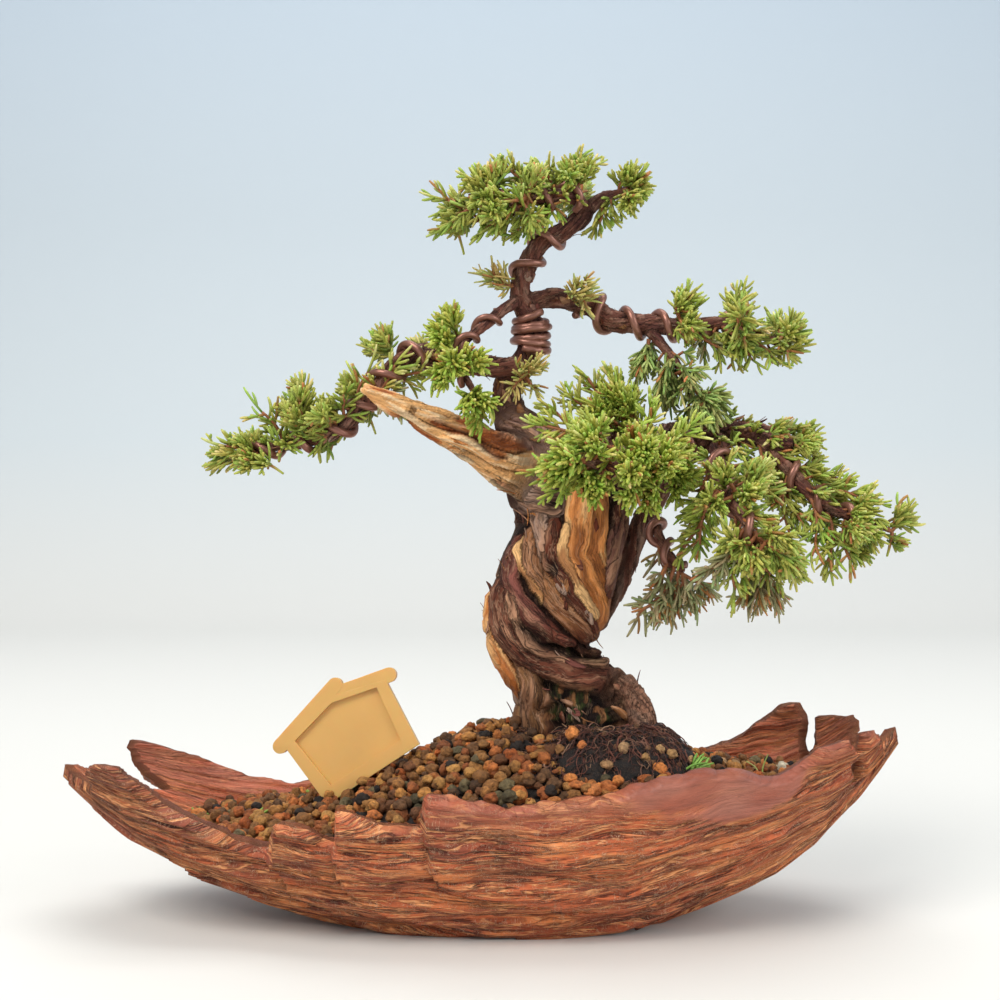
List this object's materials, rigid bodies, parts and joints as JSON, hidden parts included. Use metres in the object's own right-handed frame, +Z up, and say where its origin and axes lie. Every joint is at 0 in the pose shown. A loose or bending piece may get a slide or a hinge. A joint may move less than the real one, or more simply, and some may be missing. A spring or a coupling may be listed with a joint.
{
  "type": "bonsai tree in a pot",
  "caption": "Wired juniper bonsai with a twisted trunk and a bare dead branch, growing in gravel and soil in a boat-shaped bark-textured ceramic pot with a blank plant label.",
  "frame": {"origin": "middle of the pot's flat foot, on the surface it stands on", "axes": "+Z up, +X along the pot to the viewer's right, +Y away from the viewer"},
  "size_m": [0.2581, 0.1041, 0.2278],
  "materials": {
    "glazed_clay": "satin, rough bark relief",
    "drain_mesh": "matte",
    "gravel": "matte, granular",
    "soil": "matte, fibrous",
    "bark": "rough bark and bare deadwood",
    "foliage": "waxy scale leaves",
    "wire": "anodised, satin",
    "label": "satin, slightly translucent"
  },
  "bodies": {
    "root": {"pot": "glazed_clay", "drain_mesh_left": "drain_mesh", "drain_mesh_right": "drain_mesh", "gravel_bed": "gravel", "root_ball": "soil", "trunk": "bark", "plant_label": "label", "wire_trunk_coil": "wire", "wire_leader": "wire", "wire_crown": "wire", "wire_left_branch": "wire", "wire_front_left": "wire", "wire_right_upper": "wire", "wire_shoulder": "wire", "wire_far_tip": "wire", "wire_low_pad": "wire", "wire_hanging": "wire", "spray_crown_left_tip": "foliage", "spray_crown_left_top": "foliage", "spray_crown_left_low": "foliage", "spray_crown_middle": "foliage", "spray_crown_peak": "foliage", "spray_crown_back": "foliage", "spray_crown_right": "foliage", "spray_left_end": "foliage", "spray_left_outer": "foliage", "spray_left_plume": "foliage", "spray_left_middle": "foliage", "spray_left_elbow": "foliage", "spray_left_crook": "foliage", "spray_left_crook_back": "foliage", "spray_front_left_top": "foliage", "spray_front_left_mid": "foliage", "spray_front_left_low": "foliage", "spray_centre_tuft": "foliage", "spray_centre_sprig": "foliage", "spray_trunk_shoot": "foliage", "spray_right_upper_inner": "foliage", "spray_right_upper_middle": "foliage", "spray_right_upper_tip": "foliage", "spray_hanging_left": "foliage", "spray_hanging_middle": "foliage", "spray_hanging_low": "foliage", "spray_sprig_upper": "foliage", "spray_front_pad_tip": "foliage", "spray_front_pad_top": "foliage", "spray_front_pad_middle": "foliage", "spray_front_pad_right": "foliage", "spray_front_pad_back": "foliage", "spray_far_pad_top": "foliage", "spray_far_pad_middle": "foliage", "spray_far_pad_outer": "foliage", "spray_far_pad_tip": "foliage", "spray_low_pad_inner": "foliage", "spray_low_pad_end": "foliage", "spray_droop": "foliage", "spray_hanging_end": "foliage"}
  },
  "joints": []
}
